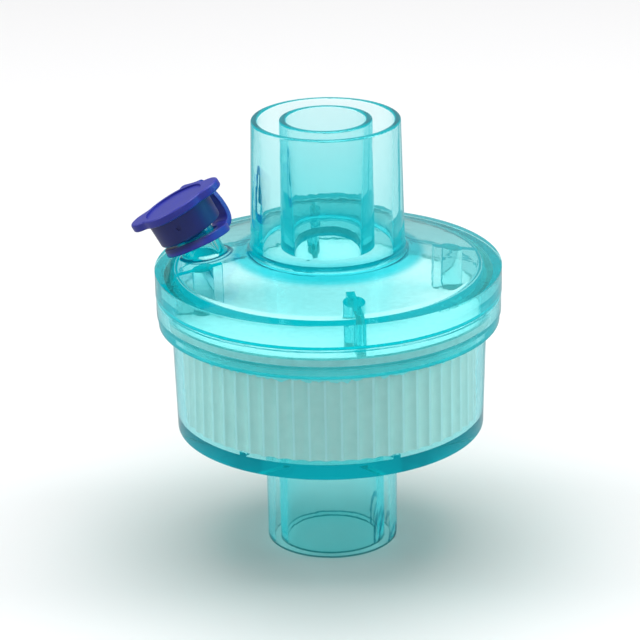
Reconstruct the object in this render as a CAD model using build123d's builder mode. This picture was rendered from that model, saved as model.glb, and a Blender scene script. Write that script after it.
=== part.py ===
from build123d import *
from math import cos, hypot, radians, sin
import os

os.makedirs("parts", exist_ok=True)

# Breathing circuit filter: two clear mouldings welded at a round rim, with a filter disc and a
# roll of corrugated paper between them, tube connectors above and below, and a soft tethered
# cap on a sampling port. Millimetres, +Z up, origin at the centre of the lower port's end face,
# with the sampling port towards -X.

# heights, each a step above the one before; the lower port's end face is at zero
cup_base_height = 20.9
cup_wall_rise = 18.4
flange_rise = 5.1
seat_rise = 1.7
rim_rise = 4.05
dome_rise = 2.75
socket_floor_rise = 0.8

# tube connectors, tapered 1 in 40 on diameter behind a short straight land
connector_taper = 1 / 40
land_length = 4.0
socket_mouth_radius = 11.185
socket_wall = 1.015
socket_draft = 0.025
socket_depth = 21.5
socket_floor_thickness = 0.95
cone_tip_radius = 7.6
cone_wall = 1.05
cone_outlet_radius = 5.6
port_tip_radius = 10.95
port_wall = 1.1
port_mouth_radius = 7.735
port_inner_wall = 1.05
port_gap_depth = 19.0
tip_rounding = 0.3

# cup: side wall, base and stepped welding flange
cup_top_radius = 26.15
cup_draft = 0.5
cup_wall = 1.15
base_thickness = 2.3
base_rounding = 1.3
port_fillet = 1.0
flange_overhang = 2.15
flange_step_out = 0.25
flange_step = 1.6
flange_wall = 1.9
seam_groove_depth = 0.35
seam_groove_width = 0.5
floor_rib_count = 6
floor_rib_height = 0.6
floor_rib_thickness = 1.2
floor_rib_inner_radius = 9.5

# lid: shallow dome, rounded shoulder and rim, and the ring that clamps the filter disc
rim_overhang = 0.1
shoulder_rounding = 1.8
neck_radius = 13.9
neck_fillet = 1.3
dome_wall = 1.2
ceiling_step = 1.0
chamber_rounding = 0.9
clamp_ring_wall = 1.3
clamp_fit = 0.05

# spacer ribs under the dome, each with a round ejector boss
rib_count = 4
rib_angle = 16.0
rib_length = 7.7
rib_thickness = 1.4
boss_inset = 4.5
boss_radius = 1.8

# filter disc and paper roll
membrane_thickness = 1.2
membrane_edge_gap = 0.15
roll_wall_gap = 0.1
roll_top_gap = 0.8
flute_count = 60
flute_depth = 0.35
flute_land = 0.45
roll_turn_pitch = 2.8
roll_turn_groove = 0.5
roll_end_depth = 0.6

# sampling port
luer_foot_inset = 8.29
luer_tilt = 29.0
luer_neck_radius = 3.3
luer_foot_fillet = 0.7
luer_length = 7.0
luer_bore_radius = 2.15
luer_taper = 0.06
lug_reach = 0.6
lug_width = 2.6
lug_thickness = 0.9

# cap: skirt over the port, plug in its bore, and a dished flange with a thumb tab and an ear
skirt_clearance = 0.55
skirt_wall = 1.05
skirt_draft = 0.1
skirt_depth = 2.75
cap_gap = 0.4
cap_roof = 1.5
cap_flange_lip = 0.6
cap_flange_thickness = 1.45
cap_flange_tilt = 0.2
cap_flange_blend = 2.0
cap_edge_rounding = 0.35
thumb_tab_reach = 8.3
thumb_tab_radius = 2.9
ear_reach = 8.3
ear_radius = 3.4
dish_depth = 0.3
dish_rim = 0.95
plug_length = 3.2
plug_fit = 0.05
gate_dimple_radius = 0.4
gate_dimple_depth = 0.25
gate_dimple_drop = 1.7

# tether ring, cocked and leaning on the neck, and the strap that rises from it to the cap
ring_wall = 1.75
ring_bore_clearance = 0.6
ring_height = 1.45
ring_bottom = 1.95
ring_cock = 4.8
ring_lean = 9.0
ring_rounding = 0.25
strap_angle = 236.0
strap_width = 4.0
strap_thickness = 1.0
strap_root_reach = 0.35
strap_bulge = 1.9
strap_bulge_height = 5.3
strap_rise = 0.6
strap_gap = 0.35
strap_cap_gap = 0.3

flange_height = cup_base_height + cup_wall_rise
seam_height = flange_height + flange_rise
seat_height = flange_height + seat_rise
membrane_top = seat_height + membrane_thickness
dome_edge_height = seam_height + rim_rise
neck_height = dome_edge_height + dome_rise
socket_floor_height = neck_height + socket_floor_rise
ceiling_height = socket_floor_height - socket_floor_thickness
overall_height = socket_floor_height + socket_depth

cup_base_radius = cup_top_radius - cup_draft
flange_step_radius = cup_top_radius + flange_overhang
flange_radius = flange_step_radius + flange_step_out
rim_radius = flange_radius + rim_overhang
seat_radius = flange_radius - flange_wall
clamp_ring_radius = seat_radius - clamp_fit
clamp_ring_inner_radius = clamp_ring_radius - clamp_ring_wall
luer_foot_radius = rim_radius - luer_foot_inset


def half(taper, length):
    """Growth of a radius along a length, for a taper given on diameter."""
    return taper / 2 * length


# Lid. The outside is turned as one solid, then the sampling port is added and the gas spaces cut.
socket_rim_radius = socket_mouth_radius + socket_wall
socket_foot_radius = socket_rim_radius + socket_draft * (overall_height - neck_height)
socket_floor_radius = socket_mouth_radius - half(connector_taper, socket_depth)
dome_slope = (neck_height - dome_edge_height) / (rim_radius - neck_radius)


def dome_height(radius):
    """Height of the dome's outer surface at a radius."""
    return neck_height - dome_slope * (radius - neck_radius)


luer_foot = Vector(-luer_foot_radius, 0, dome_height(luer_foot_radius))
luer_axis = Vector(-sin(radians(luer_tilt)), 0, cos(radians(luer_tilt)))
luer_outward = Vector(-cos(radians(luer_tilt)), 0, -sin(radians(luer_tilt)))
luer_plane = Plane(origin=luer_foot, x_dir=luer_outward, z_dir=luer_axis)

with BuildPart() as upper_housing:
    with BuildSketch(Plane.XZ) as lid_outside:
        with BuildLine():
            Polyline(
                (0, overall_height),
                (0, membrane_top),
                (clamp_ring_radius, membrane_top),
                (clamp_ring_radius, seam_height),
                (rim_radius, seam_height),
                (rim_radius, dome_edge_height),
                (socket_foot_radius, dome_height(socket_foot_radius)),
                (socket_rim_radius, overall_height),
                close=True,
            )
        make_face()
        heights = lid_outside.vertices().group_by(Axis.Y)
        fillet(heights[-2], radius=neck_fillet)
        fillet(heights[-3], radius=shoulder_rounding)
    revolve(axis=Axis.Z)

    # sampling port: round neck, filleted where it meets the dome, with two locking lugs at its tip
    neck_root = dome_wall + luer_neck_radius * sin(radians(luer_tilt))
    with BuildSketch(luer_plane.offset(-neck_root)):
        Circle(luer_neck_radius)
    extrude(amount=luer_length + neck_root)
    neck_edges = upper_housing.edges(Select.LAST).sort_by(Axis(luer_foot, luer_axis))
    fillet(neck_edges[0], radius=luer_foot_fillet)
    lug_radius = luer_neck_radius + lug_reach
    with BuildSketch(luer_plane.offset(luer_length - lug_thickness)):
        Circle(lug_radius)
        Rectangle(2 * lug_radius, lug_width, mode=Mode.INTERSECT)
    extrude(amount=lug_thickness)

    # gas space under the dome, with a higher ceiling below the socket's floor
    ceiling_radius = socket_floor_radius + ceiling_step / 2
    dome_inner_radius = ceiling_radius + ceiling_step
    with BuildSketch(Plane.XZ) as gas_space:
        with BuildLine():
            Polyline(
                (0, membrane_top),
                (clamp_ring_inner_radius, membrane_top),
                (clamp_ring_inner_radius, dome_height(clamp_ring_inner_radius) - dome_wall),
                (dome_inner_radius, dome_height(dome_inner_radius) - dome_wall),
                (ceiling_radius, ceiling_height),
                (0, ceiling_height),
                close=True,
            )
        make_face()
        fillet(gas_space.vertices().group_by(Axis.Y)[1], radius=chamber_rounding)
    revolve(axis=Axis.Z, mode=Mode.SUBTRACT)

    # ring-shaped socket round the inner cone
    with BuildSketch(Plane.XZ):
        with BuildLine():
            Polyline(
                (cone_tip_radius, overall_height),
                (cone_tip_radius, overall_height - land_length),
                (cone_tip_radius + half(connector_taper, socket_depth - land_length), socket_floor_height),
                (socket_floor_radius, socket_floor_height),
                (socket_mouth_radius, overall_height),
                close=True,
            )
        make_face()
    revolve(axis=Axis.Z, mode=Mode.SUBTRACT)

    # bore of the inner cone, narrowing towards the gas space
    with BuildSketch(Plane.XZ):
        with BuildLine():
            Polyline(
                (0, membrane_top),
                (cone_outlet_radius, membrane_top),
                (cone_outlet_radius, ceiling_height),
                (cone_tip_radius - cone_wall, overall_height),
                (0, overall_height),
                close=True,
            )
        make_face()
    revolve(axis=Axis.Z, mode=Mode.SUBTRACT)

    # tapered bore of the sampling port, from its tip into the gas space
    luer_depth = luer_length + 2 * dome_wall
    with BuildSketch(luer_plane.offset(luer_length)):
        Circle(luer_bore_radius)
    with BuildSketch(luer_plane.offset(luer_length - luer_depth)):
        Circle(luer_bore_radius - half(luer_taper, luer_depth))
    loft(mode=Mode.SUBTRACT)

    # spacer ribs, from the dome down to the filter disc, with a boss on each
    rib_outer_radius = (clamp_ring_inner_radius + clamp_ring_radius) / 2
    rib_inner_radius = clamp_ring_inner_radius - rib_length
    boss_centre_radius = clamp_ring_inner_radius - boss_inset
    rib_crown = dome_wall / 2
    with BuildPart(mode=Mode.PRIVATE) as rib:
        with BuildSketch(Plane.XZ):
            with BuildLine():
                Polyline(
                    (rib_inner_radius, membrane_top),
                    (rib_outer_radius, membrane_top),
                    (rib_outer_radius, dome_height(rib_outer_radius) - rib_crown),
                    (rib_inner_radius, dome_height(rib_inner_radius) - rib_crown),
                    close=True,
                )
            make_face()
        extrude(amount=rib_thickness / 2, both=True)
        boss_top = dome_height(boss_centre_radius + boss_radius) - rib_crown
        with BuildSketch(Plane.XY.offset(membrane_top)):
            with Locations((boss_centre_radius, 0)):
                Circle(boss_radius)
        extrude(amount=boss_top - membrane_top)
    with PolarLocations(0, rib_count, start_angle=rib_angle):
        add(rib.part)

    tips = upper_housing.edges().filter_by(GeomType.CIRCLE).filter_by(
        lambda e: abs(e.center().Z - overall_height) < 1e-3
    )
    fillet(tips, radius=tip_rounding)

upper_housing.part.label = "upper_housing"
export_step(upper_housing.part, "parts/upper_housing.step")


# Cup: stepped flange, side wall, thick base and the double-walled lower port.
floor_height = cup_base_height + base_thickness
port_foot_radius = port_tip_radius + half(connector_taper, cup_base_height - land_length)
cup_inner_top_radius = cup_top_radius - cup_wall
cup_inner_base_radius = cup_base_radius - cup_wall

with BuildPart() as lower_housing:
    with BuildSketch(Plane.XZ) as cup_outside:
        with BuildLine():
            Polyline(
                (0, 0),
                (port_tip_radius, 0),
                (port_tip_radius, land_length),
                (port_foot_radius, cup_base_height),
                (cup_base_radius, cup_base_height),
                (cup_top_radius, flange_height),
                (flange_step_radius, flange_height),
                (flange_step_radius, flange_height + flange_step),
                (flange_radius, flange_height + flange_step),
                (flange_radius, seam_height - seam_groove_width),
                (flange_radius - seam_groove_depth, seam_height - seam_groove_width),
                (flange_radius - seam_groove_depth, seam_height),
                (0, seam_height),
                close=True,
            )
        make_face()
        base_corners = cup_outside.vertices().filter_by(lambda v: abs(v.Y - cup_base_height) < 1e-6)
        fillet(base_corners.sort_by(Axis.X)[0], radius=port_fillet)
        fillet(base_corners.sort_by(Axis.X)[-1], radius=base_rounding)
    revolve(axis=Axis.Z)

    # seat for the filter disc and the lid's clamp ring, and the space for the paper roll
    with BuildSketch(Plane.XZ):
        with BuildLine():
            Polyline(
                (0, floor_height),
                (cup_inner_base_radius, floor_height),
                (cup_inner_top_radius, seat_height),
                (seat_radius, seat_height),
                (seat_radius, seam_height),
                (0, seam_height),
                close=True,
            )
        make_face()
    revolve(axis=Axis.Z, mode=Mode.SUBTRACT)

    # bore of the port, straight at its mouth and then narrowing
    with BuildSketch(Plane.XZ):
        with BuildLine():
            Polyline(
                (0, 0),
                (port_mouth_radius, 0),
                (port_mouth_radius, land_length),
                (port_mouth_radius - half(connector_taper, floor_height - land_length), floor_height),
                (0, floor_height),
                close=True,
            )
        make_face()
    revolve(axis=Axis.Z, mode=Mode.SUBTRACT)

    # gap between the port's two walls, open downwards
    gap_inner_radius = port_mouth_radius + port_inner_wall
    gap_outer_radius = port_tip_radius - port_wall
    with BuildSketch(Plane.XZ):
        with BuildLine():
            Polyline(
                (gap_inner_radius, 0),
                (gap_outer_radius, 0),
                (gap_outer_radius - half(connector_taper, port_gap_depth), port_gap_depth),
                (gap_inner_radius, port_gap_depth),
                close=True,
            )
        make_face()
    revolve(axis=Axis.Z, mode=Mode.SUBTRACT)

    # low ribs that hold the roll off the base
    with BuildPart(mode=Mode.PRIVATE) as floor_rib:
        with BuildSketch(Plane.XZ):
            with BuildLine():
                Polyline(
                    (floor_rib_inner_radius, floor_height - base_thickness / 2),
                    (cup_inner_base_radius + cup_wall / 2, floor_height - base_thickness / 2),
                    (cup_inner_base_radius + cup_wall / 2, floor_height + floor_rib_height),
                    (floor_rib_inner_radius, floor_height + floor_rib_height),
                    close=True,
                )
            make_face()
        extrude(amount=floor_rib_thickness / 2, both=True)
    with PolarLocations(0, floor_rib_count):
        add(floor_rib.part)

lower_housing.part.label = "lower_housing"
export_step(lower_housing.part, "parts/lower_housing.step")


# Filter disc, clamped between the seat and the lid.
with BuildPart() as filter_membrane:
    with BuildSketch(Plane.XY.offset(seat_height)):
        Circle(seat_radius - membrane_edge_gap)
    extrude(amount=membrane_thickness)

filter_membrane.part.label = "filter_membrane"
export_step(filter_membrane.part, "parts/filter_membrane.step")


# Roll of corrugated paper: fluted outside, and grooves on both ends where its turns meet.
roll_bottom = floor_height + floor_rib_height
roll_height = seat_height - roll_top_gap - roll_bottom
roll_radius = cup_inner_base_radius - roll_wall_gap
flute_pitch_angle = 360 / flute_count
flute_chord = 2 * roll_radius * sin(radians(flute_pitch_angle / 2)) - flute_land
flute_radius = (flute_chord**2 / 4 + flute_depth**2) / (2 * flute_depth)

with BuildPart() as hme_roll:
    with BuildSketch(Plane.XY.offset(roll_bottom)):
        Circle(roll_radius)
        with PolarLocations(roll_radius + flute_radius - flute_depth, flute_count):
            Circle(flute_radius, mode=Mode.SUBTRACT)
    extrude(amount=roll_height)
    turn_count = int((roll_radius - 2 * roll_turn_pitch) / roll_turn_pitch)
    for end_height in (roll_bottom, roll_bottom + roll_height - roll_end_depth):
        with BuildSketch(Plane.XY.offset(end_height)):
            for turn in range(1, turn_count + 1):
                turn_radius = turn * roll_turn_pitch
                Circle(turn_radius)
                Circle(turn_radius - roll_turn_groove, mode=Mode.SUBTRACT)
        extrude(amount=roll_end_depth, mode=Mode.SUBTRACT)

hme_roll.part.label = "hme_roll"
export_step(hme_roll.part, "parts/hme_roll.step")


# Tether ring: loose and askew on the port's neck, with a short root for the strap.
ring_radius = luer_neck_radius + ring_bore_clearance + ring_wall
ring_centre = luer_foot + luer_axis * ring_bottom
ring_plane = Plane(
    origin=ring_centre,
    x_dir=luer_outward.rotate(Axis.Y, ring_cock),
    z_dir=luer_axis.rotate(Axis.Y, ring_cock),
).rotated((-ring_lean, 0, 0))
strap_root_radius = ring_radius + strap_root_reach

with BuildPart() as tether_ring:
    with BuildSketch(ring_plane):
        Circle(ring_radius)
    extrude(amount=ring_height)
    fillet(tether_ring.edges().filter_by(GeomType.CIRCLE), radius=ring_rounding)
    with BuildSketch(ring_plane.offset(ring_rounding)):
        with PolarLocations(strap_root_radius / 2, 1, start_angle=strap_angle):
            Rectangle(strap_root_radius, strap_width)
    extrude(amount=ring_height - 2 * ring_rounding)
    with BuildSketch(ring_plane):
        Circle(luer_neck_radius + ring_bore_clearance)
    extrude(amount=ring_height, mode=Mode.SUBTRACT)

tether_ring.part.label = "tether_ring"
export_step(tether_ring.part, "parts/tether_ring.step")


# Cap: skirt over the port, plug in its bore, and a dished flange with a thumb tab and an ear.
skirt_inner_radius = lug_radius + skirt_clearance
skirt_bottom_radius = skirt_inner_radius + skirt_wall
skirt_top_radius = skirt_bottom_radius + skirt_draft
cap_ceiling = luer_length + cap_gap
skirt_bottom = cap_ceiling - skirt_depth
cap_flange_bottom = cap_ceiling + cap_roof
cap_flange_radius = skirt_top_radius + cap_flange_lip
cap_flange_plane = Plane(
    origin=luer_foot + luer_axis * cap_flange_bottom,
    x_dir=luer_outward.rotate(Axis.Y, -cap_flange_tilt),
    z_dir=luer_axis.rotate(Axis.Y, -cap_flange_tilt),
)
skirt_top = cap_flange_bottom + cap_flange_thickness / 2
plug_end = luer_length - plug_length


with BuildSketch() as cap_flange_outline:
    Circle(cap_flange_radius)
    for tip, radius in ((thumb_tab_reach, thumb_tab_radius), (-ear_reach, ear_radius)):
        tip_centre = tip - radius if tip > 0 else tip + radius
        with Locations((tip_centre, 0)):
            Circle(radius)
        with Locations((tip_centre / 2, 0)):
            Rectangle(abs(tip_centre), 2 * radius)
    waists = cap_flange_outline.vertices().filter_by(
        lambda v: abs(hypot(v.X, v.Y) - cap_flange_radius) < 1e-4
    )
    fillet(waists, radius=cap_flange_blend)

with BuildPart() as cap_flange:
    with BuildSketch(cap_flange_plane):
        add(cap_flange_outline.sketch)
    extrude(amount=cap_flange_thickness)
    fillet(cap_flange.faces().filter_by(cap_flange_plane).edges(), radius=cap_edge_rounding)

with BuildPart() as luer_cap:
    with BuildSketch(luer_plane.offset(skirt_bottom)):
        Circle(skirt_bottom_radius)
    with BuildSketch(luer_plane.offset(skirt_top)):
        Circle(skirt_top_radius)
    loft()
    fillet(luer_cap.faces().sort_by(Axis(luer_foot, luer_axis))[0].edges(), radius=cap_edge_rounding)
    add(cap_flange.part)
    with BuildSketch(cap_flange_plane.offset(cap_flange_thickness)):
        Circle(cap_flange_radius - dish_rim)
    extrude(amount=-dish_depth, mode=Mode.SUBTRACT)
    with BuildSketch(luer_plane.offset(skirt_bottom)):
        Circle(skirt_inner_radius)
    extrude(amount=cap_ceiling - skirt_bottom, mode=Mode.SUBTRACT)
    with BuildSketch(luer_plane.offset(plug_end)):
        Circle(luer_bore_radius - half(luer_taper, plug_length) - plug_fit)
    with BuildSketch(luer_plane.offset(cap_ceiling)):
        Circle(luer_bore_radius + half(luer_taper, cap_ceiling - luer_length) - plug_fit)
    loft()

    # small round mark of the moulding gate in the side of the skirt
    dimple_centre = luer_foot + luer_axis * (cap_flange_bottom - gate_dimple_drop)
    dimple_face = Plane(
        origin=dimple_centre + luer_plane.y_dir * (skirt_top_radius - gate_dimple_depth),
        x_dir=luer_axis,
        z_dir=luer_plane.y_dir,
    )
    with BuildSketch(dimple_face):
        Circle(gate_dimple_radius)
    extrude(amount=2 * gate_dimple_depth, mode=Mode.SUBTRACT)

luer_cap.part.label = "luer_cap"
export_step(luer_cap.part, "parts/luer_cap.step")


# Strap between ring and cap: moulded flat, and bent into a loop where the cap is closed.
strap_direction = (
    luer_plane.x_dir * cos(radians(strap_angle)) + luer_plane.y_dir * sin(radians(strap_angle))
)
strap_plane = Plane(origin=luer_foot, x_dir=strap_direction, z_dir=strap_direction.cross(luer_axis))
root_tilt = cos(radians(strap_angle)) * sin(radians(ring_cock)) + sin(radians(strap_angle)) * sin(
    radians(ring_lean)
)
root_height = ring_bottom + ring_height / 2 + strap_root_radius * root_tilt
edge_rise = -cap_flange_radius * cos(radians(strap_angle)) * sin(radians(cap_flange_tilt))
strap_top_height = cap_flange_bottom + edge_rise + cap_flange_thickness / 2 + strap_rise
strap_reach = cap_flange_radius + strap_bulge

with BuildPart() as tether_strap:
    with BuildSketch(strap_plane):
        with BuildLine():
            Spline(
                (strap_root_radius + strap_gap, root_height),
                (strap_reach, strap_bulge_height),
                (cap_flange_radius + strap_cap_gap, strap_top_height),
                tangents=((1, root_tilt), (-1, 0)),
            )
        trace(line_width=strap_thickness)
    extrude(amount=strap_width / 2, both=True)

tether_strap.part.label = "tether_strap"
export_step(tether_strap.part, "parts/tether_strap.step")
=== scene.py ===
import math

import bpy
from mathutils import Matrix, Vector


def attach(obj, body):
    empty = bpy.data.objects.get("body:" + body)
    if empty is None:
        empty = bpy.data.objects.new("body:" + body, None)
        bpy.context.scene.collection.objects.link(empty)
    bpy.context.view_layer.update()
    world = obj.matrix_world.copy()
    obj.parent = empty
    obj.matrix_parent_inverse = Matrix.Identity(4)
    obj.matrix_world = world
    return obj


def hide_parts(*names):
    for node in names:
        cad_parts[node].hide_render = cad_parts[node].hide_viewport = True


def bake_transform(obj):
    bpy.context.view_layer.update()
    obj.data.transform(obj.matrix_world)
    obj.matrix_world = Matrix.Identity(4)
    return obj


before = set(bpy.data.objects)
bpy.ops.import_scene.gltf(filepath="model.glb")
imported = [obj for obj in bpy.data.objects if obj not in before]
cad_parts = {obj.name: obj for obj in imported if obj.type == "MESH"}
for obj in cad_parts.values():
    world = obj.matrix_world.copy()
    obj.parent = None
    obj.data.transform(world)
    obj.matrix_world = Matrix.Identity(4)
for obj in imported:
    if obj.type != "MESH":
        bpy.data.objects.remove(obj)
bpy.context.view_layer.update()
bpy.ops.object.select_all(action="DESELECT")


# Clear housing: lid and cup, two injection mouldings in a clear styrene-like plastic with a teal
# tint, welded at the rim, with faint flow waves. Painted shade: the socket's foot is tinted a deeper
# teal and a ring at the sampling port's neck is painted dark. That ring has no end along its axis
# and marks the lower port.
port_root = (-0.02036, 0.0, 0.049996)
port_axis = (-0.48481, 0.0, 0.87462)
clear_teal = bpy.data.materials.new("clear_teal")
clear_teal.use_nodes = True
nodes, links = clear_teal.node_tree.nodes, clear_teal.node_tree.links
nodes.clear()
place = nodes.new("ShaderNodeTexCoord")
flow = nodes.new("ShaderNodeTexNoise")
flow.inputs["Scale"].default_value = 160.0
flow.inputs["Detail"].default_value = 3.0
links.new(place.outputs["Object"], flow.inputs["Vector"])
haze = nodes.new("ShaderNodeMapRange")
haze.inputs["To Min"].default_value = 0.0
haze.inputs["To Max"].default_value = 0.04
links.new(flow.outputs["Fac"], haze.inputs["Value"])
wave = nodes.new("ShaderNodeBump")
wave.inputs["Strength"].default_value = 0.12
wave.inputs["Distance"].default_value = 0.0003
links.new(flow.outputs["Fac"], wave.inputs["Height"])
plastic = nodes.new("ShaderNodeBsdfPrincipled")
plastic.inputs["Transmission Weight"].default_value = 1.0
plastic.inputs["IOR"].default_value = 1.5
plastic.inputs["Specular Tint"].default_value = (0.15, 1.0, 1.0, 1.0)
links.new(haze.outputs["Result"], plastic.inputs["Roughness"])
links.new(wave.outputs["Normal"], plastic.inputs["Normal"])
spot = nodes.new("ShaderNodeSeparateXYZ")
links.new(place.outputs["Object"], spot.inputs["Vector"])
level = nodes.new("ShaderNodeCombineXYZ")
links.new(spot.outputs["X"], level.inputs["X"])
links.new(spot.outputs["Y"], level.inputs["Y"])
reach = nodes.new("ShaderNodeVectorMath")
reach.operation = "LENGTH"
links.new(level.outputs["Vector"], reach.inputs[0])
# Painted shade: the socket's foot, outside the bore and low down, is tinted a deeper teal.
near_neck = nodes.new("ShaderNodeMapRange")
near_neck.interpolation_type = "SMOOTHSTEP"
near_neck.inputs["From Min"].default_value = 0.0166
near_neck.inputs["From Max"].default_value = 0.0148
links.new(reach.outputs["Value"], near_neck.inputs["Value"])
outside_bore = nodes.new("ShaderNodeMath")
outside_bore.operation = "GREATER_THAN"
outside_bore.inputs[1].default_value = 0.0119
links.new(reach.outputs["Value"], outside_bore.inputs[0])
low_down = nodes.new("ShaderNodeMapRange")
low_down.interpolation_type = "SMOOTHSTEP"
low_down.inputs["From Min"].default_value = 0.0545
low_down.inputs["From Max"].default_value = 0.0520
links.new(spot.outputs["Z"], low_down.inputs["Value"])
foot = nodes.new("ShaderNodeMath")
foot.operation = "MULTIPLY"
links.new(near_neck.outputs["Result"], foot.inputs[0])
links.new(low_down.outputs["Result"], foot.inputs[1])
neck = nodes.new("ShaderNodeMath")
neck.operation = "MULTIPLY"
links.new(foot.outputs["Value"], neck.inputs[0])
links.new(outside_bore.outputs["Value"], neck.inputs[1])
# Painted shade: a dark ring at the port's neck radius, with no end along the port's axis.
port_foot = nodes.new("ShaderNodeVectorMath")
port_foot.operation = "SUBTRACT"
port_foot.inputs[1].default_value = port_root
links.new(place.outputs["Object"], port_foot.inputs[0])
port_side = nodes.new("ShaderNodeVectorMath")
port_side.operation = "CROSS_PRODUCT"
port_side.inputs[1].default_value = port_axis
links.new(port_foot.outputs["Vector"], port_side.inputs[0])
port_reach = nodes.new("ShaderNodeVectorMath")
port_reach.operation = "LENGTH"
links.new(port_side.outputs["Vector"], port_reach.inputs[0])
port_rim = nodes.new("ShaderNodeMapRange")
port_rim.interpolation_type = "SMOOTHSTEP"
port_rim.inputs["From Min"].default_value = 0.00035
port_rim.inputs["From Max"].default_value = 0.00015
port_gap = nodes.new("ShaderNodeMath")
port_gap.operation = "SUBTRACT"
port_gap.inputs[1].default_value = 0.00382
links.new(port_reach.outputs["Value"], port_gap.inputs[0])
port_near = nodes.new("ShaderNodeMath")
port_near.operation = "ABSOLUTE"
links.new(port_gap.outputs["Value"], port_near.inputs[0])
links.new(port_near.outputs["Value"], port_rim.inputs["Value"])
painted_shade_teal = nodes.new("ShaderNodeMix")
painted_shade_teal.data_type = "RGBA"
painted_shade_teal.inputs[6].default_value = (1.0, 1.0, 1.0, 1.0)
painted_shade_teal.inputs[7].default_value = (0.10, 0.72, 0.80, 1.0)
links.new(neck.outputs["Value"], painted_shade_teal.inputs["Factor"])
painted_shade_ring = nodes.new("ShaderNodeMix")
painted_shade_ring.data_type = "RGBA"
painted_shade_ring.inputs[7].default_value = (0.01, 0.10, 0.18, 1.0)
links.new(port_rim.outputs["Result"], painted_shade_ring.inputs["Factor"])
links.new(painted_shade_teal.outputs[2], painted_shade_ring.inputs[6])
links.new(painted_shade_ring.outputs[2], plastic.inputs["Base Color"])
through = nodes.new("ShaderNodeBsdfTransparent")
through.inputs["Color"].default_value = (0.92, 0.97, 0.965, 1.0)
# Painted glow: rays that have bounced inside the plastic meet a teal emission, standing in for light
# piped along the walls.
glow = nodes.new("ShaderNodeEmission")
glow.inputs["Color"].default_value = (0.0, 0.66, 0.73, 1.0)
ray = nodes.new("ShaderNodeLightPath")
trapped = nodes.new("ShaderNodeMapRange")
trapped.inputs["From Min"].default_value = 0.5
trapped.inputs["From Max"].default_value = 3.0
links.new(ray.outputs["Glossy Depth"], trapped.inputs["Value"])
trapped_glow_mix = nodes.new("ShaderNodeMixShader")
links.new(trapped.outputs["Result"], trapped_glow_mix.inputs["Fac"])
links.new(plastic.outputs["BSDF"], trapped_glow_mix.inputs[1])
links.new(glow.outputs["Emission"], trapped_glow_mix.inputs[2])
pick = nodes.new("ShaderNodeMixShader")
links.new(ray.outputs["Is Shadow Ray"], pick.inputs["Fac"])
links.new(trapped_glow_mix.outputs["Shader"], pick.inputs[1])
links.new(through.outputs["BSDF"], pick.inputs[2])
body = nodes.new("ShaderNodeVolumeAbsorption")
body.inputs["Color"].default_value = (0.0, 0.84, 0.86, 1.0)
body.inputs["Density"].default_value = 230.0
out = nodes.new("ShaderNodeOutputMaterial")
links.new(pick.outputs["Shader"], out.inputs["Surface"])
links.new(body.outputs["Volume"], out.inputs["Volume"])
for node in ("upper_housing", "lower_housing"):
    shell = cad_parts[node]
    shell.data.materials.clear()
    shell.data.materials.append(clear_teal)


# Weld bead: plastic that welled up in the groove between lid and cup, uneven all round.
bpy.ops.mesh.primitive_torus_add(
    major_segments=420,
    minor_segments=10,
    major_radius=0.02836,
    minor_radius=0.00014,
    location=(0, 0, 0.04416),
)
bead = bpy.context.active_object
bead.name = "weld_bead"
melt = bpy.data.textures.new("weld_melt", type="CLOUDS")
melt.noise_scale = 0.0016
melt.noise_depth = 2
swell = bead.modifiers.new("swell", "DISPLACE")
swell.texture = melt
swell.texture_coords = "LOCAL"
swell.strength = 0.00016
swell.mid_level = 0.5
bpy.ops.object.transform_apply(location=True, rotation=True, scale=True)
bpy.ops.object.modifier_apply(modifier="swell")
bpy.ops.object.shade_smooth()
bead.data.materials.append(clear_teal)
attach(bead, "housing")
bead.select_set(False)


# Melt skirt: a thin teal skin that ran down inside the cup's mouth when the rim was welded. It
# hides the top of the roll, and its lower edge is ragged.
bpy.ops.mesh.primitive_cylinder_add(
    vertices=480, radius=0.02464, depth=0.0032, end_fill_type="NOTHING", location=(0.0, 0.0, 0.03935)
)
skirt = bpy.context.active_object
skirt.name = "melt_skirt"
bpy.ops.object.transform_apply(location=True, rotation=True, scale=True)
hem = skirt.vertex_groups.new(name="hem")
hem.add([v.index for v in skirt.data.vertices if v.co.z < 0.039], 1.0, "REPLACE")
drip = bpy.data.textures.new("melt_edge", type="CLOUDS")
drip.noise_scale = 0.0011
drip.noise_depth = 3
ragged = skirt.modifiers.new("ragged", "DISPLACE")
ragged.texture = drip
ragged.texture_coords = "LOCAL"
ragged.direction = "Z"
ragged.vertex_group = "hem"
ragged.strength = 0.0019
skin = skirt.modifiers.new("skin", "SOLIDIFY")
skin.thickness = 0.00016
skin.offset = 1.0
bpy.ops.object.modifier_apply(modifier="ragged")
bpy.ops.object.modifier_apply(modifier="skin")
bpy.ops.object.shade_smooth_by_angle(angle=math.radians(40))
melt_teal = bpy.data.materials.new("melt_teal")
melt_teal.use_nodes = True
nodes, links = melt_teal.node_tree.nodes, melt_teal.node_tree.links
shader = nodes["Principled BSDF"]
shader.inputs["Roughness"].default_value = 0.4
place = nodes.new("ShaderNodeTexCoord")
cloud = nodes.new("ShaderNodeTexNoise")
cloud.inputs["Scale"].default_value = 420.0
cloud.inputs["Detail"].default_value = 4.0
links.new(place.outputs["Object"], cloud.inputs["Vector"])
shade = nodes.new("ShaderNodeValToRGB")
shade.color_ramp.elements[0].position = 0.3
shade.color_ramp.elements[0].color = (0.42, 0.97, 0.97, 1.0)
shade.color_ramp.elements[1].position = 0.7
shade.color_ramp.elements[1].color = (0.60, 1.0, 1.0, 1.0)
links.new(cloud.outputs["Fac"], shade.inputs["Fac"])
links.new(shade.outputs["Color"], shader.inputs["Base Color"])
skirt.data.materials.append(melt_teal)
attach(skirt, "housing")
skirt.select_set(False)


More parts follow.
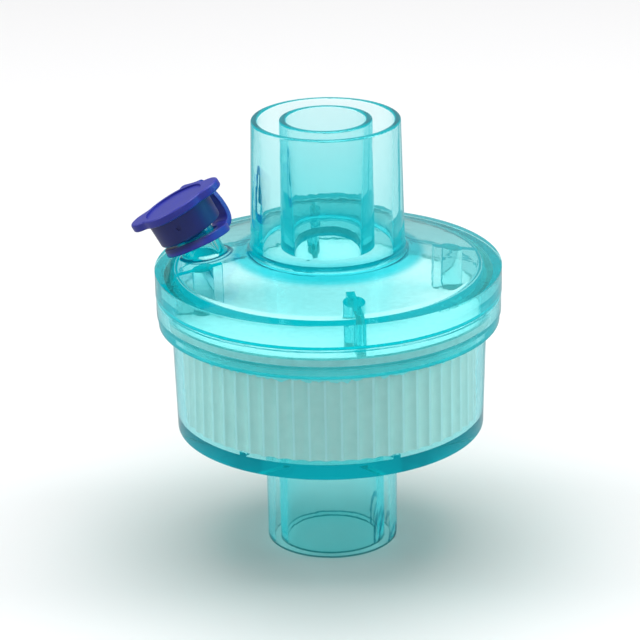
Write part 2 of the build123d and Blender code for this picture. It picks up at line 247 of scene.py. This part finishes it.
# Filter disc: a white needled felt of fine fibres, clamped at its edge between lid and cup.
felt = bpy.data.materials.new("white_felt")
felt.use_nodes = True
nodes, links = felt.node_tree.nodes, felt.node_tree.links
shader = nodes["Principled BSDF"]
shader.inputs["Roughness"].default_value = 0.95
place = nodes.new("ShaderNodeTexCoord")
fibre = nodes.new("ShaderNodeTexNoise")
fibre.inputs["Scale"].default_value = 900.0
fibre.inputs["Detail"].default_value = 6.0
links.new(place.outputs["Object"], fibre.inputs["Vector"])
shade = nodes.new("ShaderNodeValToRGB")
shade.color_ramp.elements[0].position = 0.3
shade.color_ramp.elements[0].color = (0.78, 0.73, 0.71, 1.0)
shade.color_ramp.elements[1].position = 0.7
shade.color_ramp.elements[1].color = (0.89, 0.84, 0.82, 1.0)
links.new(fibre.outputs["Fac"], shade.inputs["Fac"])
links.new(shade.outputs["Color"], shader.inputs["Base Color"])
nap = nodes.new("ShaderNodeBump")
nap.inputs["Strength"].default_value = 0.5
nap.inputs["Distance"].default_value = 0.0002
links.new(fibre.outputs["Fac"], nap.inputs["Height"])
links.new(nap.outputs["Normal"], shader.inputs["Normal"])
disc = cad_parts["filter_membrane"]
disc.data.materials.clear()
disc.data.materials.append(felt)


# Paper roll: off-white corrugated paper wound up tight, its flutes upright against the cup. The
# crest of each flute presses on the cup's wall and carries a narrow painted highlight.
flute_count = 60.0
paper = bpy.data.materials.new("white_paper")
paper.use_nodes = True
nodes, links = paper.node_tree.nodes, paper.node_tree.links
shader = nodes["Principled BSDF"]
shader.inputs["Roughness"].default_value = 0.85
place = nodes.new("ShaderNodeTexCoord")
grain = nodes.new("ShaderNodeTexNoise")
grain.inputs["Scale"].default_value = 500.0
grain.inputs["Detail"].default_value = 5.0
links.new(place.outputs["Object"], grain.inputs["Vector"])
shade = nodes.new("ShaderNodeValToRGB")
shade.color_ramp.elements[0].position = 0.3
shade.color_ramp.elements[0].color = (0.88, 0.88, 0.82, 1.0)
shade.color_ramp.elements[1].position = 0.7
shade.color_ramp.elements[1].color = (0.95, 0.94, 0.88, 1.0)
links.new(grain.outputs["Fac"], shade.inputs["Fac"])
parts = nodes.new("ShaderNodeSeparateXYZ")
links.new(place.outputs["Object"], parts.inputs["Vector"])
turn = nodes.new("ShaderNodeMath")
turn.operation = "ARCTAN2"
links.new(parts.outputs["Y"], turn.inputs[0])
links.new(parts.outputs["X"], turn.inputs[1])
count = nodes.new("ShaderNodeMath")
count.operation = "MULTIPLY"
count.inputs[1].default_value = flute_count / math.tau
links.new(turn.outputs["Value"], count.inputs[0])
within = nodes.new("ShaderNodeMath")
within.operation = "PINGPONG"
within.inputs[1].default_value = 0.5
links.new(count.outputs["Value"], within.inputs[0])
# Painted highlight: a near-white line along each flute's crest.
crest = nodes.new("ShaderNodeMapRange")
crest.interpolation_type = "SMOOTHSTEP"
crest.inputs["From Min"].default_value = 0.40
crest.inputs["From Max"].default_value = 0.46
links.new(within.outputs["Value"], crest.inputs["Value"])
lit = nodes.new("ShaderNodeMix")
lit.data_type = "RGBA"
links.new(crest.outputs["Result"], lit.inputs["Factor"])
links.new(shade.outputs["Color"], lit.inputs[6])
lit.inputs[7].default_value = (1.0, 1.0, 0.98, 1.0)
links.new(lit.outputs[2], shader.inputs["Base Color"])
tooth = nodes.new("ShaderNodeBump")
tooth.inputs["Strength"].default_value = 0.3
tooth.inputs["Distance"].default_value = 0.0001
links.new(grain.outputs["Fac"], tooth.inputs["Height"])
links.new(tooth.outputs["Normal"], shader.inputs["Normal"])
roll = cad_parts["hme_roll"]
roll.data.materials.clear()
roll.data.materials.append(paper)


# Tethered cap: cap, strap and ring, one soft blue moulding with a satin skin. The skirt's side is
# painted navy, which stands for the shade it has in the photograph's light.
blue = bpy.data.materials.new("blue_plastic")
blue.use_nodes = True
nodes, links = blue.node_tree.nodes, blue.node_tree.links
shader = nodes["Principled BSDF"]
place = nodes.new("ShaderNodeTexCoord")
skin = nodes.new("ShaderNodeTexNoise")
skin.inputs["Scale"].default_value = 300.0
skin.inputs["Detail"].default_value = 4.0
links.new(place.outputs["Object"], skin.inputs["Vector"])
shade = nodes.new("ShaderNodeValToRGB")
shade.color_ramp.elements[0].color = (0.024, 0.032, 0.34, 1.0)
shade.color_ramp.elements[1].color = (0.036, 0.044, 0.44, 1.0)
links.new(skin.outputs["Fac"], shade.inputs["Fac"])
port_foot = nodes.new("ShaderNodeVectorMath")
port_foot.operation = "SUBTRACT"
port_foot.inputs[1].default_value = port_root
links.new(place.outputs["Object"], port_foot.inputs[0])
up_port = nodes.new("ShaderNodeVectorMath")
up_port.operation = "DOT_PRODUCT"
up_port.inputs[1].default_value = port_axis
links.new(port_foot.outputs["Vector"], up_port.inputs[0])
below_flange = nodes.new("ShaderNodeMapRange")
below_flange.interpolation_type = "SMOOTHSTEP"
below_flange.inputs["From Min"].default_value = 0.0091
below_flange.inputs["From Max"].default_value = 0.0087
links.new(up_port.outputs["Value"], below_flange.inputs["Value"])
from_axis = nodes.new("ShaderNodeVectorMath")
from_axis.operation = "CROSS_PRODUCT"
from_axis.inputs[1].default_value = port_axis
links.new(port_foot.outputs["Vector"], from_axis.inputs[0])
off_axis = nodes.new("ShaderNodeVectorMath")
off_axis.operation = "LENGTH"
links.new(from_axis.outputs["Vector"], off_axis.inputs[0])
on_plug = nodes.new("ShaderNodeMapRange")
on_plug.inputs["From Min"].default_value = 0.0062
on_plug.inputs["From Max"].default_value = 0.0059
links.new(off_axis.outputs["Value"], on_plug.inputs["Value"])
above_ring = nodes.new("ShaderNodeMapRange")
above_ring.inputs["From Min"].default_value = 0.0032
above_ring.inputs["From Max"].default_value = 0.0038
links.new(up_port.outputs["Value"], above_ring.inputs["Value"])
plug = nodes.new("ShaderNodeMath")
plug.operation = "MULTIPLY"
links.new(below_flange.outputs["Result"], plug.inputs[0])
links.new(on_plug.outputs["Result"], plug.inputs[1])
plug_side = nodes.new("ShaderNodeMath")
plug_side.operation = "MULTIPLY"
links.new(plug.outputs["Value"], plug_side.inputs[0])
links.new(above_ring.outputs["Result"], plug_side.inputs[1])
navy = nodes.new("ShaderNodeMix")
navy.data_type = "RGBA"
navy.inputs[7].default_value = (0.012, 0.02, 0.17, 1.0)
links.new(plug_side.outputs["Value"], navy.inputs["Factor"])
links.new(shade.outputs["Color"], navy.inputs[6])
links.new(navy.outputs[2], shader.inputs["Base Color"])
satin = nodes.new("ShaderNodeMapRange")
satin.inputs["To Min"].default_value = 0.26
satin.inputs["To Max"].default_value = 0.42
links.new(skin.outputs["Fac"], satin.inputs["Value"])
links.new(satin.outputs["Result"], shader.inputs["Roughness"])
orange_peel = nodes.new("ShaderNodeBump")
orange_peel.inputs["Strength"].default_value = 0.08
orange_peel.inputs["Distance"].default_value = 0.0002
links.new(skin.outputs["Fac"], orange_peel.inputs["Height"])
links.new(orange_peel.outputs["Normal"], shader.inputs["Normal"])
for node in ("luer_cap", "tether_ring", "tether_strap"):
    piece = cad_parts[node]
    piece.data.materials.clear()
    piece.data.materials.append(blue)


# Strap: leaves the ring's root, bows out behind the cap, and comes over the flange's back edge,
# where it thickens into the flange. It is flat, with rounded edges. Its section and its stations
# are in millimetres: distance from the port's axis, height along it, sideways drift, and swell.
half_width = 1.9
half_thickness = 0.5
edge_rounding = 0.3
tilt = math.radians(29.0)
port_frame = Matrix(
    (
        (-math.cos(tilt), 0.0, -math.sin(tilt), -0.02036),
        (0.0, -1.0, 0.0, 0.0),
        (-math.sin(tilt), 0.0, math.cos(tilt), 0.049996),
        (0.0, 0.0, 0.0, 1.0),
    )
)
section = bpy.data.curves.new("strap_section", "CURVE")
section.dimensions = "2D"
outline = section.splines.new("NURBS")
corners = []
for side_x, side_y in ((1, 1), (-1, 1), (-1, -1), (1, -1)):
    bend = [
        (half_width, half_thickness - edge_rounding),
        (half_width, half_thickness),
        (half_width - edge_rounding, half_thickness),
    ]
    if side_x * side_y < 0:
        bend.reverse()
    corners += [(side_y * y, side_x * x) for x, y in bend]
outline.points.add(len(corners) - 1)
for point, (x, y) in zip(outline.points, corners):
    point.co = (x / 1000, y / 1000, 0.0, 1.0)
outline.order_u = 3
outline.use_cyclic_u = True
outline.resolution_u = 4
section_object = bpy.data.objects.new("strap_section", section)
bpy.context.scene.collection.objects.link(section_object)
route = bpy.data.curves.new("cap_strap", "CURVE")
route.dimensions = "3D"
route.twist_mode = "Z_UP"
spine = route.splines.new("NURBS")
stations = (
    (5.3, 1.8, 0.0, 1.1),
    (6.2, 1.7, 0.0, 1.05),
    (7.3, 2.2, 0.0, 1.0),
    (7.8, 4.1, -0.1, 0.95),
    (7.8, 6.4, -0.4, 0.95),
    (7.5, 8.1, -0.8, 0.95),
    (7.2, 9.3, -1.1, 1.05),
    (6.6, 9.85, -1.3, 1.2),
    (5.6, 9.4, -1.4, 1.3),
)
spine.points.add(len(stations) - 1)
for point, (reach, height, drift, swell) in zip(spine.points, stations):
    point.co = (reach / 1000, height / 1000, drift / 1000, 1.0)
    point.radius = swell
spine.order_u = 4
spine.use_endpoint_u = True
spine.resolution_u = 10
route.bevel_mode = "OBJECT"
route.bevel_object = section_object
route.use_fill_caps = True
strap = bpy.data.objects.new("cap_strap", route)
bpy.context.scene.collection.objects.link(strap)
bpy.context.view_layer.objects.active = strap
strap.select_set(True)
bpy.ops.object.convert(target="MESH")
strap = bpy.context.active_object
bpy.data.objects.remove(section_object)
across = math.radians(237.0)
strap.matrix_world = port_frame @ Matrix(
    (
        (math.cos(across), 0.0, math.sin(across), 0.0),
        (math.sin(across), 0.0, -math.cos(across), 0.0),
        (0.0, 1.0, 0.0, 0.0),
        (0.0, 0.0, 0.0, 1.0),
    )
)
bpy.ops.object.transform_apply(location=True, rotation=True, scale=True)
bpy.ops.object.mode_set(mode="EDIT")
bpy.ops.mesh.select_all(action="SELECT")
bpy.ops.mesh.remove_doubles(threshold=0.000002)
bpy.ops.mesh.normals_make_consistent(inside=False)
bpy.ops.object.mode_set(mode="OBJECT")
bpy.ops.object.shade_smooth_by_angle(angle=math.radians(40))
strap.data.materials.clear()
strap.data.materials.append(blue)
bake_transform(strap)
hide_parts("tether_strap")
strap.select_set(False)


# Floor: one wide pale sheet, dimmer in mirror and scattered light than seen directly. Near the
# filter's foot its colour is darkened and greened, a painted shadow on top of the shadow that the
# lights cast there.
bpy.ops.mesh.primitive_plane_add(size=12.0, location=(0.0, 0.0, 0.0))
floor = bpy.context.active_object
floor.name = "pale_floor"
white = bpy.data.materials.new("floor_white")
white.use_nodes = True
nodes, links = white.node_tree.nodes, white.node_tree.links
shader = nodes["Principled BSDF"]
shader.inputs["Roughness"].default_value = 0.6
ray = nodes.new("ShaderNodeLightPath")
seen = nodes.new("ShaderNodeMath")
seen.operation = "MAXIMUM"
links.new(ray.outputs["Is Camera Ray"], seen.inputs[0])
links.new(ray.outputs["Is Transmission Ray"], seen.inputs[1])
tone = nodes.new("ShaderNodeMix")
tone.data_type = "RGBA"
tone.inputs[6].default_value = (0.40, 0.40, 0.40, 1.0)
place = nodes.new("ShaderNodeTexCoord")
spread = nodes.new("ShaderNodeVectorMath")
spread.operation = "LENGTH"
links.new(place.outputs["Object"], spread.inputs[0])
# Painted shadow: darker, greener floor colour near the filter's foot.
clear_of = nodes.new("ShaderNodeMapRange")
clear_of.interpolation_type = "SMOOTHSTEP"
clear_of.inputs["From Min"].default_value = 0.012
clear_of.inputs["From Max"].default_value = 0.07
links.new(spread.outputs["Value"], clear_of.inputs["Value"])
painted_floor_shadow = nodes.new("ShaderNodeMix")
painted_floor_shadow.data_type = "RGBA"
painted_floor_shadow.inputs[6].default_value = (0.66, 0.71, 0.69, 1.0)
painted_floor_shadow.inputs[7].default_value = (0.93, 0.93, 0.935, 1.0)
links.new(clear_of.outputs["Result"], painted_floor_shadow.inputs["Factor"])
links.new(painted_floor_shadow.outputs[2], tone.inputs[7])
links.new(seen.outputs["Value"], tone.inputs["Factor"])
links.new(tone.outputs[2], shader.inputs["Base Color"])
floor.data.materials.append(white)


# Studio light: a bright room, one big soft box above and one to each side.
room = bpy.data.worlds.new("bright_room")
room.use_nodes = True
room.node_tree.nodes["Background"].inputs["Color"].default_value = (1.0, 1.0, 1.0, 1.0)
room.node_tree.nodes["Background"].inputs["Strength"].default_value = 0.38
bpy.context.scene.world = room


def soft_box(name, place, aim, width, height, power):
    light = bpy.data.lights.new(name, "AREA")
    light.shape = "RECTANGLE"
    light.size = width
    light.size_y = height
    light.energy = power
    lamp = bpy.data.objects.new(name, light)
    bpy.context.scene.collection.objects.link(lamp)
    lamp.location = place
    lamp.rotation_euler = (Vector(aim) - Vector(place)).to_track_quat("-Z", "Y").to_euler()


soft_box("top_box", (0.0, 0.1, 0.7), (0.0, 0.0, 0.03), 0.6, 0.6, 3.3)
soft_box("front_box", (0.1, -0.8, 0.35), (0.0, 0.0, 0.03), 0.5, 0.3, 0.65)
soft_box("left_box", (-0.7, 0.0, 0.5), (0.0, 0.0, 0.03), 0.3, 0.5, 1.9)
soft_box("right_box", (0.7, 0.1, 0.5), (0.0, 0.0, 0.03), 0.3, 0.5, 1.9)

bpy.context.scene.view_settings.view_transform = "Standard"
bpy.context.scene.cycles.max_bounces = 24
bpy.context.scene.cycles.glossy_bounces = 24
bpy.context.scene.cycles.transmission_bounces = 24
bpy.context.scene.cycles.transparent_max_bounces = 32

# Camera: the photograph's long lens, looking down on the dome from the front.
lens = bpy.data.cameras.new("photo_view")
lens.sensor_width = 36.0
lens.lens = 164.21
lens.shift_x = -0.00167
lens.shift_y = 0.00013
lens.clip_start = 0.01
camera = bpy.data.objects.new("photo_view", lens)
bpy.context.scene.collection.objects.link(camera)
camera.matrix_world = (
    Matrix.Translation((0.03894, -0.45133, 0.21288))
    @ Matrix.Rotation(math.radians(5.1), 4, "Z")
    @ Matrix.Rotation(math.radians(90.0 - 21.053), 4, "X")
    @ Matrix.Rotation(math.radians(-1.041), 4, "Z")
)
bpy.context.scene.camera = camera

bpy.context.view_layer.update()
